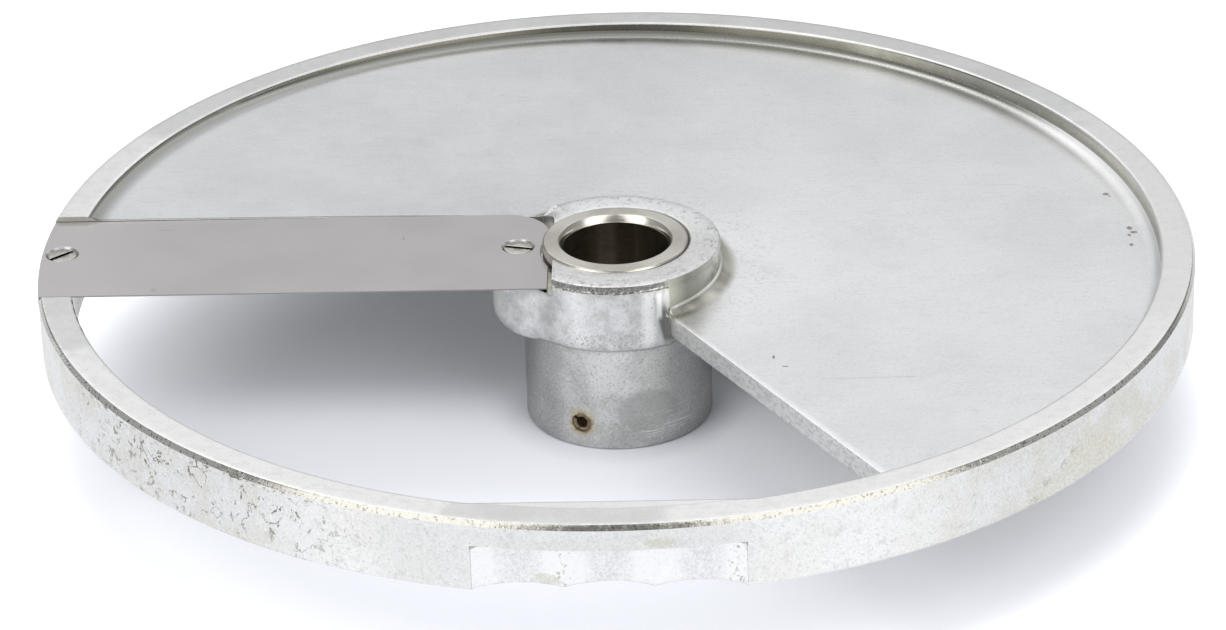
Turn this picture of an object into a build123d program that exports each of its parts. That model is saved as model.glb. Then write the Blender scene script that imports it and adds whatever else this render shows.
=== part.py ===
"""Slicing disc of a vegetable cutter: a cast aluminium disc with a ramped plate, a steel hub sleeve,
a screwed-on steel blade, two slotted countersunk screws and a slotted spring pin.

Millimetres. +Z is up, the bore axis is the Z axis, and z = 0 is the hub's foot, on which the disc stands.
The blade runs from the hub along -X. The disc turns so that the blade's front edge, on the -Y side, leads.
"""
import math
import os

from build123d import *

# Rim
disc_d = 205.0
rim_w = 6.0
rim_h = 13.2
rim_top = 32.5
rim_chamfer_w = 0.2
rim_chamfer_h = 1.1

# Plate: one helical ramp, highest at the blade and lowest at the opening's edge
plate_t = 4.0
ramp_pitch = 8.0
ramp_start_drop = 0.5
opening_deg = -59.5
ramp_overrun_deg = 4.0
rim_cove_r = 1.6
boss_cove_r = 1.0
under_cove_r = 2.0
cove_steps = 3
under_cove_steps = 1
cove_bite = 0.1
plate_root = 3.0

# Hub: a turned boss on a narrower foot, with the as-cast skin left on its front
boss_d = 37.2
boss_above_rim = 0.9
boss_bottom = 20.0
skin_t = 0.35
skin_below_top = 1.3
skin_edge_r = 1.0
skin_overrun_deg = 1.5
hub_d = 33.4
hub_foot_chamfer = 0.6

# Sleeve and bore
sleeve_d = 26.0
sleeve_proud = 0.3
sleeve_recess = 0.5
sleeve_chamfer = 0.3
bore_d = 19.0
bore_chamfer = 0.7
sleeve_mouth_chamfer = 0.25

# Blade and its seat
blade_w = 30.0
blade_t = 1.0
blade_below_rim = 1.0
blade_corner_r = 8.0
blade_end_gap = 0.9
blade_tip_gap = 0.1
sleeve_gap = 0.4
bevel_w = 3.0
edge_t = 0.15
seat_end = 11.0
seat_corner_r = 7.0
seat_back_gap = 0.1
seat_front_gap = 2.0
seat_ledge_w = 13.0

# Lug that carries the blade's hub end
lug_stand = 2.75
lug_w = 24.0
lug_bottom_r = 7.0
lug_side_r = 2.5
lug_blend_r = 6.0

# Screws
screw_d = 3.0
screw_len = 8.0
screw_head_d = 5.6
screw_head_sink = 0.2
screw_slot_w = 0.8
screw_slot_depth = 0.6
screw_side_step = 2.0
screw_rim_wall = 0.6
screw_hub_r = 17.4
screw_gap = 0.05
screw_tip_gap = 1.0
screw_rim_turn = 42.0
screw_hub_turn = -14.0

# Spring pin
pin_d = 3.5
pin_wall = 0.7
pin_slot_w = 0.5
pin_slot_turn = 55.0
pin_z = 5.0
pin_deg = -113.0
pin_end_gap = 0.2

# Finger grip in the rim, and the pad that backs it
grip_scallops = 3
grip_scallop_w = 15.0
grip_scallop_depth = 1.6
grip_end_depth = 0.3
grip_below_top = 4.7
pad_depth = 2.8

# Worked out from the sizes above
disc_r = disc_d / 2
rim_inner_r = disc_r - rim_w
rim_bottom = rim_top - rim_h
boss_r = boss_d / 2
boss_top = rim_top + boss_above_rim
skin_r = boss_r + skin_t
lug_reach = skin_r + lug_stand
hub_r = hub_d / 2
sleeve_r = sleeve_d / 2
sleeve_top = boss_top + sleeve_proud
bore_r = bore_d / 2
blade_top = rim_top - blade_below_rim
blade_seat = blade_top - blade_t
blade_end = seat_end + blade_end_gap
screw_r = screw_d / 2
screw_head_r = screw_head_d / 2
screw_mouth_r = screw_head_r + screw_head_sink
screw_rim_x = blade_tip_gap + screw_rim_wall + screw_mouth_r - disc_r
pin_r = pin_d / 2
ramp_deg = 180 + ramp_overrun_deg - opening_deg
ramp_end_z = rim_top - ramp_start_drop - ramp_pitch * (180 - opening_deg) / 360
through = 2 * boss_top

os.makedirs("parts", exist_ok=True)


# The ramp's radial section, with a cove at the rim and at the hub on both sides, swept up a helix.
# Each cove is turned in a few flats and stops a little inside the wall that it runs into.
def cove(wall_r, face_z, radius, side, up, steps):
    """A cove's points, from the plate's face at face_z to just inside the wall at wall_r."""
    tangent_r = wall_r - side * (radius - cove_bite)
    reach = math.asin(1 - cove_bite / (2 * radius))
    turns = [reach * i / steps for i in range(steps + 1)]
    return [(tangent_r + side * radius * math.sin(a), face_z + up * radius * (1 - math.cos(a))) for a in turns]


ramp_under_z = ramp_end_z - plate_t
top_rim = cove(rim_inner_r, ramp_end_z, rim_cove_r, 1, 1, cove_steps)
top_hub = cove(boss_r, ramp_end_z, boss_cove_r, -1, 1, cove_steps)
low_rim = cove(rim_inner_r, ramp_under_z, under_cove_r, 1, -1, under_cove_steps)
low_hub = cove(boss_r, ramp_under_z, under_cove_r, -1, -1, under_cove_steps)
rim_root = (rim_inner_r + plate_root, ramp_end_z - plate_t / 2)
hub_root = (boss_r - plate_root, ramp_end_z - plate_t / 2)

with BuildPart() as ramp:
    with BuildLine() as ramp_path:
        Helix(pitch=ramp_pitch, height=ramp_pitch * ramp_deg / 360, radius=rim_inner_r / 2)
    with BuildSketch(Plane.XZ):
        with BuildLine():
            Polyline(*top_rim, rim_root, *low_rim[::-1], *low_hub, hub_root, *top_hub[::-1], close=True)
        make_face()
    sweep(path=ramp_path.line, is_frenet=True)

# The plate: the ramp turned to its place, its leading end cut straight under the blade
with BuildPart() as plate:
    add(ramp.part, rotation=(0, 0, opening_deg))
    with BuildSketch():
        with Locations((-disc_r, blade_w / 2 - seat_ledge_w)):
            Rectangle(disc_r, blade_w, align=(Align.MIN, Align.MAX))
    extrude(amount=through, mode=Mode.SUBTRACT)

# The hole that each screw goes in, with its top at z = 0: a countersink, then a plain blind hole
with BuildPart() as screw_hole:
    with BuildSketch(Plane.XZ):
        with BuildLine():
            Polyline(
                (0, 0),
                (screw_mouth_r, 0),
                (screw_r + screw_gap, screw_r + screw_gap - screw_mouth_r),
                (screw_r + screw_gap, -screw_len - screw_tip_gap),
                (0, -screw_len - screw_tip_gap),
                close=True,
            )
        make_face()
    revolve(axis=Axis.Z)

screw_places = [
    Location((screw_rim_x, screw_side_step, blade_top), (0, 0, screw_rim_turn)),
    Location((-screw_hub_r, screw_side_step, blade_top), (0, 0, screw_hub_turn)),
]
pin_out = Vector(math.cos(math.radians(pin_deg)), math.sin(math.radians(pin_deg)), 0)
pin_plane = Plane(origin=(0, 0, pin_z), x_dir=(0, 0, 1), z_dir=pin_out)

# The lug that carries the blade's hub end, blended into the boss on both sides and rounded off below
with BuildPart() as lug:
    with BuildSketch(Plane.XY.offset(boss_bottom)):
        with Locations((-lug_reach, 0)):
            Rectangle(lug_reach, lug_w, align=(Align.MIN, Align.CENTER))
        fillet(vertices().group_by(Axis.X)[0], lug_side_r)
        Circle(skin_r)
        fillet(vertices().group_by(Axis.X)[2], lug_blend_r)
    extrude(amount=blade_seat - boss_bottom)
    with BuildSketch(Plane.XZ):
        with Locations((-lug_reach, boss_bottom)):
            Rectangle(lug_reach - seat_end, blade_seat - boss_bottom, align=(Align.MIN, Align.MIN))
        fillet(vertices().group_by(Axis.X)[0].sort_by(Axis.Y)[0], lug_bottom_r)
    extrude(amount=disc_r, both=True, mode=Mode.INTERSECT)

# Disc body: the casting, machined on the rim's top, the ramp, the boss, the bore and the blade's seat
with BuildPart() as disc_body:
    # Rim
    with BuildSketch(Plane.XZ):
        with BuildLine():
            Polyline(
                (rim_inner_r, rim_bottom),
                (disc_r, rim_bottom),
                (disc_r, rim_top - rim_chamfer_h),
                (disc_r - rim_chamfer_w, rim_top),
                (rim_inner_r, rim_top),
                close=True,
            )
        make_face()
    revolve(axis=Axis.Z)

    # Boss and foot
    with BuildSketch(Plane.XZ):
        with BuildLine():
            Polyline(
                (0, 0),
                (0, boss_top),
                (boss_r, boss_top),
                (boss_r, boss_bottom),
                (hub_r, boss_bottom),
                (hub_r, hub_foot_chamfer),
                (hub_r - hub_foot_chamfer, 0),
                close=True,
            )
        make_face()
    revolve(axis=Axis.Z)

    # As-cast skin on the front of the boss
    skin_plane = Plane.XZ.rotated((0, 0, opening_deg + skin_overrun_deg))
    with BuildSketch(skin_plane):
        with BuildLine():
            Polyline(
                (skin_r, boss_bottom + skin_edge_r),
                (skin_r, boss_top - skin_below_top),
                (sleeve_r, boss_top - skin_below_top),
                (sleeve_r, boss_bottom),
                (skin_r - skin_edge_r, boss_bottom),
            )
            RadiusArc((skin_r - skin_edge_r, boss_bottom), (skin_r, boss_bottom + skin_edge_r), -skin_edge_r)
        make_face()
    revolve(axis=Axis.Z, revolution_arc=-(180 + opening_deg))

    # Lug and ramped plate
    add(lug.part)
    add(plate.part)

    # Pad behind the finger grip: the rim's inner wall cut off by a chord
    with BuildSketch(Plane.XY.offset(rim_bottom)):
        Circle(rim_inner_r + plate_root)
        with Locations((0, pad_depth - rim_inner_r)):
            Rectangle(disc_d, disc_d, align=(Align.CENTER, Align.MAX), mode=Mode.INTERSECT)
    extrude(amount=rim_h)

    # Rim's top, faced off level
    with BuildSketch(Plane.XY.offset(rim_top)):
        Circle(disc_d)
        Circle(rim_inner_r - 2 * rim_cove_r, mode=Mode.SUBTRACT)
    extrude(amount=boss_top, mode=Mode.SUBTRACT)

    # Finger grip: scallops side by side along a chord, open at the rim's foot
    grip_w = grip_scallops * grip_scallop_w
    grip_y = grip_end_depth - math.sqrt(disc_r**2 - (grip_w / 2) ** 2)
    with BuildSketch(Plane.XY.offset(rim_top - grip_below_top)):
        with BuildLine():
            for i in range(grip_scallops):
                left = i * grip_scallop_w - grip_w / 2
                ThreePointArc(
                    (left, grip_y),
                    (left + grip_scallop_w / 2, grip_y + grip_scallop_depth),
                    (left + grip_scallop_w, grip_y),
                )
            Polyline(
                (grip_w / 2, grip_y),
                (grip_w / 2, -disc_d),
                (-grip_w / 2, -disc_d),
                (-grip_w / 2, grip_y),
            )
        make_face()
    extrude(amount=-through, mode=Mode.SUBTRACT)

    # Blade's seat across the rim, the plate and the boss
    with BuildSketch(Plane.XY.offset(blade_seat)):
        with Locations((-seat_end, blade_w / 2 + seat_back_gap)):
            Rectangle(disc_d, blade_w + seat_back_gap + seat_front_gap, align=(Align.MAX, Align.MAX))
        fillet(vertices().group_by(Axis.X)[-1].sort_by(Axis.Y)[-1], seat_corner_r)
    extrude(amount=boss_top, mode=Mode.SUBTRACT)

    # Bore for the sleeve, chamfered at its mouth
    with BuildSketch(Plane.XZ):
        with BuildLine():
            Polyline(
                (0, 0),
                (sleeve_r, 0),
                (sleeve_r, boss_top - sleeve_mouth_chamfer),
                (sleeve_r + sleeve_mouth_chamfer, boss_top),
                (0, boss_top),
                close=True,
            )
        make_face()
    revolve(axis=Axis.Z, mode=Mode.SUBTRACT)

    # Holes for the screws and the pin
    with Locations(*screw_places):
        add(screw_hole.part, mode=Mode.SUBTRACT)
    with BuildSketch(pin_plane):
        Circle(pin_r)
    extrude(amount=hub_d, mode=Mode.SUBTRACT)

disc_body.part.label = "disc_body"
export_step(disc_body.part, "parts/disc_body.step")

# Hub sleeve: turned steel, pressed in from above
with BuildPart() as hub_sleeve:
    with BuildSketch(Plane.XZ):
        with BuildLine():
            Polyline(
                (bore_r + bore_chamfer, sleeve_recess),
                (sleeve_r, sleeve_recess),
                (sleeve_r, sleeve_top - sleeve_chamfer),
                (sleeve_r - sleeve_chamfer, sleeve_top),
                (bore_r + bore_chamfer, sleeve_top),
                (bore_r, sleeve_top - bore_chamfer),
                (bore_r, sleeve_recess + bore_chamfer),
                close=True,
            )
        make_face()
    revolve(axis=Axis.Z)
    with BuildSketch(pin_plane):
        Circle(pin_r)
    extrude(amount=hub_d, mode=Mode.SUBTRACT)

hub_sleeve.part.label = "hub_sleeve"
export_step(hub_sleeve.part, "parts/hub_sleeve.step")

# Blade: flat steel strip, its ends cut round to the rim and the sleeve, ground underneath at its front edge
with BuildPart() as slicing_blade:
    with BuildSketch(Plane.XY.offset(blade_seat)):
        with Locations((-blade_end, 0)):
            Rectangle(disc_r, blade_w, align=(Align.MAX, Align.CENTER))
        fillet(vertices().group_by(Axis.X)[-1].sort_by(Axis.Y)[-1], blade_corner_r)
        Circle(disc_r - blade_tip_gap, mode=Mode.INTERSECT)
        Circle(sleeve_r + sleeve_gap, mode=Mode.SUBTRACT)
    extrude(amount=blade_t)
    front_edge = edges().filter_by(Axis.X).group_by(Axis.Y)[0].sort_by(Axis.Z)[0]
    chamfer(front_edge, blade_t - edge_t, bevel_w, reference=faces().sort_by(Axis.Y)[0])
    with Locations(*screw_places):
        add(screw_hole.part, mode=Mode.SUBTRACT)

slicing_blade.part.label = "slicing_blade"
export_step(slicing_blade.part, "parts/slicing_blade.step")

# One countersunk screw, its head a little below z = 0 so that it seats in the countersink
with BuildPart() as screw:
    with BuildSketch(Plane.XZ):
        with BuildLine():
            Polyline(
                (0, -screw_head_sink),
                (screw_head_r, -screw_head_sink),
                (screw_r, screw_r - screw_head_r - screw_head_sink),
                (screw_r, -screw_len),
                (0, -screw_len),
                close=True,
            )
        make_face()
    revolve(axis=Axis.Z)
    with BuildSketch(Plane.XY.offset(-screw_head_sink)):
        Rectangle(2 * screw_head_d, screw_slot_w)
    extrude(amount=-screw_slot_depth, mode=Mode.SUBTRACT)

# Blade screws: one through the blade into the rim, one into the lug
with BuildPart() as blade_screws:
    with Locations(*screw_places):
        add(screw.part)

blade_screws.part.label = "blade_screws"
export_step(blade_screws.part, "parts/blade_screws.step")

# Spring pin: rolled steel tube with an open slot, driven through the hub's foot and the sleeve
with BuildPart() as spring_pin:
    with BuildSketch(pin_plane.offset(bore_r + pin_end_gap)):
        Circle(pin_r)
        Circle(pin_r - pin_wall, mode=Mode.SUBTRACT)
        with Locations(Rotation(0, 0, pin_slot_turn)):
            Rectangle(pin_d, pin_slot_w, align=(Align.MIN, Align.CENTER), mode=Mode.SUBTRACT)
    extrude(amount=hub_r - bore_r - 2 * pin_end_gap)

spring_pin.part.label = "spring_pin"
export_step(spring_pin.part, "parts/spring_pin.step")
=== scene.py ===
import math
from functools import partial

import bmesh
import bpy
import numpy as np
from mathutils import Matrix, Vector, noise


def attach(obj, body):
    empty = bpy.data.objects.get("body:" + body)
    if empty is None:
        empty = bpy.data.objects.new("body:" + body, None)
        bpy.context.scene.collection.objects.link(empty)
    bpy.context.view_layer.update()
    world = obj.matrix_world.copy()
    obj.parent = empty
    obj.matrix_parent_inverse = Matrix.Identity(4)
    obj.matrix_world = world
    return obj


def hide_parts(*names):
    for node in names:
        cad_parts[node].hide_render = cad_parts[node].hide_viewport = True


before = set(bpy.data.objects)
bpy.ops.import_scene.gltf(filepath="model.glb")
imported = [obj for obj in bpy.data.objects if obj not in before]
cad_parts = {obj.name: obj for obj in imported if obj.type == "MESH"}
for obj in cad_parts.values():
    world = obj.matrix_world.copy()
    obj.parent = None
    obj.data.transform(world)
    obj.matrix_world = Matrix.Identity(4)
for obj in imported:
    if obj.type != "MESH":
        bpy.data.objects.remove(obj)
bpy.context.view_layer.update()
scene = bpy.context.scene

# Rim: the outer ring of the aluminium casting, faced on top and left as cast outside and below.
# A finger grip of three scallops is cut in its front, and the blade's seat crosses it at the left.
rim_outer = 102.5
rim_inner = 96.5
rim_top = 32.5
rim_foot = 19.3
pad_chord = 93.7
grip_half = 22.5
grip_line = -99.7
grip_top = 27.8
scallop_w = 15.0
scallop_depth = 2.0
seat_back = 15.1
seat_front = -17.0
seat_floor = 30.5
outer_edge = ((0.16, 0.67), (0.32, 0.42), (0.48, 0.16), (0.60, 0.045), (0.84, 0))
inner_round = ((0.75, 0), (0.55, 0), (0.38, 0.03), (0.20, 0.10), (0.07, 0.22), (0, 0.40))


def ease(value, low, high):
    """A smooth step from 0 at low to 1 at high."""
    share = np.clip((value - low) / (high - low), 0, 1)
    return share * share * (3 - 2 * share)


def grip_radius(turn):
    """Radius of the grip's wall at an angle: scallops side by side along a chord."""
    arc = (scallop_w**2 / 4 + scallop_depth**2) / (2 * scallop_depth)
    radius = rim_outer
    for _ in range(6):
        off = (radius * math.cos(turn) + grip_half) % scallop_w - scallop_w / 2
        radius = (grip_line + scallop_depth - arc + math.sqrt(arc**2 - off**2)) / math.sin(turn)
    return radius


def rim_section(turn, cut):
    """The rim's closed section at an angle: its foot, the outside, over the top and down the inside."""
    front = math.sin(turn) < -0.9
    inner = min(rim_inner, -pad_chord / math.sin(turn)) if front else rim_inner
    gripped = front and abs(rim_outer * math.cos(turn)) < grip_half
    low = grip_radius(turn) if gripped else rim_outer
    ledge = rim_outer - low
    section = [(inner + 0.5, rim_foot), (inner + 2, rim_foot), (low - 2, rim_foot), (low - 0.7, rim_foot)]
    section += [(low - 0.2, rim_foot + 0.2), (low, rim_foot + 0.7)]
    section += [(low, z) for z in np.linspace(rim_foot + 1.3, grip_top - 0.5, 9)]
    section += [(low, grip_top - 0.12), (low + 0.05 * ledge, grip_top), (rim_outer - 0.04 * ledge, grip_top)]
    section += [(rim_outer, grip_top + 0.06)]
    section += [(rim_outer, z) for z in np.linspace(grip_top + 0.5, rim_top - 0.92, 6)]
    section += [(rim_outer - back, rim_top - drop) for back, drop in outer_edge]
    section += [(rim_outer - back, rim_top) for back in (1.5, 2.7, 4.0)]
    section += [(inner + back, rim_top - drop) for back, drop in inner_round]
    section += [(inner, z) for z in (31.4, 30.0, 28.0, 26.0, 24.0, 22.0, 20.0)]
    section += [(inner + 0.12, rim_foot + 0.15)]
    return [(r, min(z, seat_floor if cut else 99)) for r, z in section]


def rim_point(turn, r, z):
    """A point of the rim; near the seat the sections lie square to the blade instead of along a radius."""
    side = rim_outer * math.sin(turn)
    if math.cos(turn) < 0 and abs(side) < 40:
        square = math.pi - math.asin(side / r)
        turn = turn + (square - turn) * (1 - ease(abs(side), 20, 40))
    return (r * math.cos(turn), r * math.sin(turn), z)


def skin(columns):
    """A closed mesh through columns of points, each a closed loop; the last column joins the first."""
    made = bmesh.new()
    rows = [[made.verts.new([c / 1000 for c in p]) for p in column] for column in columns]
    count = len(rows[0])
    for one, two in zip(rows, rows[1:] + rows[:1]):
        for i in range(count):
            made.faces.new((one[i], two[i], two[(i + 1) % count], one[(i + 1) % count]))
    bmesh.ops.remove_doubles(made, verts=made.verts, dist=2e-6)
    return made


seat_turns = [math.pi - math.asin(y / rim_outer) for y in (seat_back, seat_front)]
rim_turns = [(turn, seat_turns[0] < turn < seat_turns[1]) for turn in np.radians(np.arange(0, 360, 0.5))]
step_turn = 0.3 / rim_outer
rim_turns += [(seat_turns[0] - step_turn, False), (seat_turns[0] - 1e-6, False), (seat_turns[0] + 1e-6, True)]
rim_turns += [(seat_turns[1] - 1e-6, True), (seat_turns[1] + 1e-6, False), (seat_turns[1] + step_turn, False)]
for side in (-1, 1):
    end = 1.5 * math.pi + side * math.asin(grip_half / rim_outer)
    cusp = 1.5 * math.pi + side * math.atan2(scallop_w / 2, -grip_line)
    rim_turns += [(end - 2e-4, False), (end + 2e-4, False), (cusp, False)]
rim_columns = [[rim_point(turn, r, z) for r, z in rim_section(turn, cut)] for turn, cut in sorted(rim_turns)]
rim_skin = skin(rim_columns)


def feed(socket, value):
    """Links a socket to another node's output, or sets it to a plain value."""
    if isinstance(value, bpy.types.NodeSocket):
        socket.id_data.links.new(value, socket)
    else:
        socket.default_value = value


def node_in(tree, kind, **sockets):
    """Adds a node and sets or links its inputs by name, with _ for a space, or by number, as in i0."""
    node = tree.nodes.new(kind)
    for name, value in sockets.items():
        feed(node.inputs[int(name[1:]) if name[1:].isdigit() else name.replace("_", " ")], value)
    return node


def metal_finish(name):
    """A bare metal material with only its shader: returns the material, its tree and the shader."""
    material = bpy.data.materials.new(name)
    material.use_nodes = True
    tree = material.node_tree
    tree.nodes.clear()
    metal = node_in(tree, "ShaderNodeBsdfPrincipled", Metallic=1.0)
    node_in(tree, "ShaderNodeOutputMaterial", Surface=metal.outputs["BSDF"])
    return material, tree, metal


def millimetres(tree, scale=(1, 1, 1), turn=(0, 0, 0)):
    """Places on the piece in millimetres, stretched and turned as asked."""
    where = tree.nodes.new("ShaderNodeTexCoord").outputs["Object"]
    lay = node_in(tree, "ShaderNodeMapping", Vector=where, Scale=[1000 * s for s in scale], Rotation=turn)
    return lay.outputs["Vector"]


def grain(place, size, detail=4.0, roughness=0.55, distortion=0.0):
    """Noise with marks about size millimetres across."""
    node = node_in(place.id_data, "ShaderNodeTexNoise", Vector=place, Scale=1 / size, Detail=detail)
    node.inputs["Roughness"].default_value = roughness
    node.inputs["Distortion"].default_value = distortion
    return node.outputs["Fac"]


def step(value, low, high, out_low=0.0, out_high=1.0):
    """A smooth step of value from low to high."""
    node = value.id_data.nodes.new("ShaderNodeMapRange")
    node.interpolation_type = "SMOOTHSTEP"
    for socket, number in zip(node.inputs, (value, low, high, out_low, out_high)):
        feed(socket, number)
    return node.outputs["Result"]


def calc(operation, first, *more):
    """One sum on values or outputs, carried on from left to right."""
    tree = next(value.id_data for value in (first, *more) if isinstance(value, bpy.types.NodeSocket))
    for second in more or (0.0,):
        node = node_in(tree, "ShaderNodeMath", i0=first, i1=second)
        node.operation = operation
        first = node.outputs["Value"]
    return first


times, plus, minus, most = (partial(calc, kind) for kind in ("MULTIPLY", "ADD", "SUBTRACT", "MAXIMUM"))


def tint(under, over, *shares):
    """One colour laid over another by the product of the shares."""
    share = times(*shares) if len(shares) > 1 else shares[0]
    node = share.id_data.nodes.new("ShaderNodeMix")
    node.data_type = "RGBA"
    for place, value in ((0, share), (6, under), (7, over)):
        feed(node.inputs[place], (*value, 1) if isinstance(value, tuple) else value)
    return node.outputs[2]


def coats(colour, *layers):
    """Colours laid over the first in turn; each layer is a colour and the shares it is laid by."""
    for over, *shares in layers:
        colour = tint(colour, over, *shares)
    return colour


def dress(metal, colour, rough, height, depth):
    """Gives a shader its colour, roughness and fine relief, depth millimetres from lowest to highest."""
    bump = node_in(metal.id_data, "ShaderNodeBump", Strength=1.0, Distance=depth / 1000, Height=height)
    feed(metal.inputs["Base Color"], colour)
    feed(metal.inputs["Roughness"], rough)
    feed(metal.inputs["Normal"], bump.outputs["Normal"])


def split(place):
    """The lengths of a place along X, Y and Z."""
    return node_in(place.id_data, "ShaderNodeSeparateXYZ", Vector=place).outputs


def around(place):
    """Angle round the axis in degrees, distance from the axis, and height, in millimetres."""
    x, y, z = split(place)
    out = calc("SQRT", plus(times(x, x), times(y, y)))
    return times(calc("ARCTAN2", y, x), 180 / math.pi), out, z


def between(value, low, high, soft):
    """1 where value lies between low and high, with soft ends."""
    return times(step(value, low - soft, low + soft), step(value, high + soft, high - soft))


def mark(place, at, size, ragged=0.35):
    """A small mark with a ragged edge: at is its middle and size its half widths, in millimetres."""
    tree = place.id_data
    lay = node_in(tree, "ShaderNodeMapping", Vector=place, Scale=[1 / s for s in size])
    lay.inputs["Location"].default_value = [-a / s for a, s in zip(at, size)]
    far = node_in(tree, "ShaderNodeVectorMath", i0=lay.outputs["Vector"])
    far.operation = "LENGTH"
    worn = grain(place, max(min(size) * 0.8, 0.3), 4, 0.65)
    return step(plus(far.outputs["Value"], times(minus(worn, 0.5), 2 * ragged)), 1.0, 0.75)


def cast_skin():
    """Blasted casting skin: sparkling grain, warm tints, oxide veins at the front left and a raw patch, with
    painted light and shade on the outer wall's front, the grip's scallops and corners, the boss's front and
    its junction with the ramp.
    """
    material, tree, metal = metal_finish("cast_skin")
    place = millimetres(tree)
    angle, out, height = around(place)
    fine = grain(place, 0.42, 5, 0.75)
    lumps = grain(place, 2.0, 5, 0.65)
    cloud = grain(place, 11, 4, 0.6)
    grip = times(between(angle, -102.75, -77.25, 0.1), step(height, 27.9, 27.75), step(out, 92, 94))
    across = split(place)["X"]
    scallop = calc("FRACT", times(plus(across, grip_half), 1 / scallop_w))
    scallop = plus(scallop, times(minus(lumps, 0.5), 0.3))
    # The middle of each scallop is painted grey with speckle and its flanks lighter: painted shade in the
    # scallops' hollows.
    hollow = times(between(scallop, 0.28, 0.74, 0.1), step(lumps, 0.35, 0.6, 1.0, 0.75))
    hollow_shade_colour = tint(
        (0.66, 0.66, 0.655), (0.50, 0.50, 0.49), step(plus(fine, times(lumps, 0.5)), 0.62, 0.92)
    )
    flank_colour = tint((0.68, 0.68, 0.67), (0.52, 0.52, 0.505), step(fine, 0.58, 0.74))
    hub_side = step(out, 24, 22)
    mottle = grain(place, 3.4, 4, 0.6)
    boss_colour = tint(
        (0.74, 0.74, 0.73), (0.50, 0.50, 0.49), step(plus(mottle, times(lumps, 0.6)), 0.62, 1.02)
    )
    # Two upright strips of the boss's front are painted almost white: painted highlights.
    facing = most(times(between(angle, -115, -106, 5), 0.7), between(angle, -75, -68.5, 2.5))
    boss_colour = coats(
        boss_colour,
        ((0.95, 0.95, 0.93), facing, 0.9),
        ((0.36, 0.36, 0.34), step(fine, 0.52, 0.72, 0, 0.8)),
    )
    # The lug's left face is painted darker in bands: painted shade.
    lug_shade_bands = most(step(angle, -140, -149), times(between(angle, -131, -124, 3), 0.55))
    lug_shade = times(lug_shade_bands, step(lumps, 0.40, 0.60, 0.6, 1.0), 0.8)
    pores = times(step(grain(place, 0.5, 4, 0.7), 0.53, 0.62), between(height, 20.8, 24.2, 1.2), hub_side)
    # Where the boss's front meets the ramp's cut end, a leaning strip is painted near black as painted shade,
    # with a painted highlight streak beside it.
    leaning = plus(angle, times(minus(height, 27), 0.6))
    junction_shade = times(between(leaning, -66.6, -60.6, 1.2), between(height, 21.4, 28.8, 1.6), hub_side)
    junction_highlight = times(between(angle, -67.2, -64.2, 0.8), between(height, 26.5, 31.6, 0.8), hub_side)
    curl = grain(place, 4.6, 4, 0.6, 0.8)
    crack = step(calc("ABSOLUTE", minus(curl, 0.5)), 0.024, 0.010)
    broken = step(grain(place, 2.6, 4, 0.7), 0.48, 0.54)
    left_front = times(between(angle, -153, -116, 5), step(out, 101, 102))
    upper = step(height, 19, 30, 0.55, 1.0)
    vein = times(crack, broken, left_front, upper)
    under_band = times(step(grain(place, 0.9, 4, 0.65), 0.58, 0.66), left_front, step(height, 29.6, 31.4))
    dark = most(vein, times(under_band, 0.75))
    spread = step(height, 29.5, 19.5, 0.5, 8.5)
    side = calc("ABSOLUTE", plus(angle, 38.5))
    edge = plus(minus(spread, side), times(minus(lumps, 0.5), 5))
    raw = times(step(edge, -0.8, 1.6), step(out, 101, 102))
    raw_colour = tint((0.56, 0.55, 0.475), (0.44, 0.43, 0.355), step(fine, 0.42, 0.62))
    seam = times(
        between(edge, -0.2, 0.9, 0.5), step(angle, -39, -40), step(out, 101, 102), step(lumps, 0.40, 0.58)
    )
    colour = coats(
        tint((0.565, 0.565, 0.555), (0.51, 0.505, 0.45), step(cloud, 0.38, 0.66)),
        # The outer wall is painted lighter across the front and darker in the front's middle: painted light
        # and painted shade.
        ((0.70, 0.70, 0.675), between(angle, -121, -57, 8), step(out, 60, 90), 0.6),
        ((0.53, 0.53, 0.515), between(angle, -112, -77.5, 3), step(out, 60, 90), 0.55),
        ((0.43, 0.43, 0.41), step(lumps, 0.50, 0.72, 0, 0.5)),
        ((0.35, 0.345, 0.315), step(fine, 0.52, 0.74, 0, 0.85)),
        ((0.76, 0.76, 0.75), step(fine, 0.47, 0.30, 0, 0.5)),
        (tint(flank_colour, hollow_shade_colour, hollow), grip, 0.92),
        (boss_colour, hub_side, 0.8),
        ((0.36, 0.36, 0.355), lug_shade, step(out, 34, 30)),
        ((0.16, 0.155, 0.14), pores, 0.6, between(angle, -118, -74, 10)),
        ((0.12, 0.12, 0.108), junction_shade, 0.92),
        ((0.95, 0.95, 0.93), junction_highlight, 0.8),
        ((0.13, 0.115, 0.07), dark, 0.92),
        (raw_colour, raw, 0.55),
        ((0.27, 0.26, 0.20), seam, 0.5),
    )
    for at, size in (((8.3, -102, 28.9), (2.9, 3, 0.95)), ((-10.2, -99, 20.6), (3.0, 4, 1.2))):
        stain = times(mark(place, at, size, 1.0), step(fine, 0.3, 0.6, 0.2, 0.7))
        colour = tint(colour, (0.46, 0.455, 0.36), stain)
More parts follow.
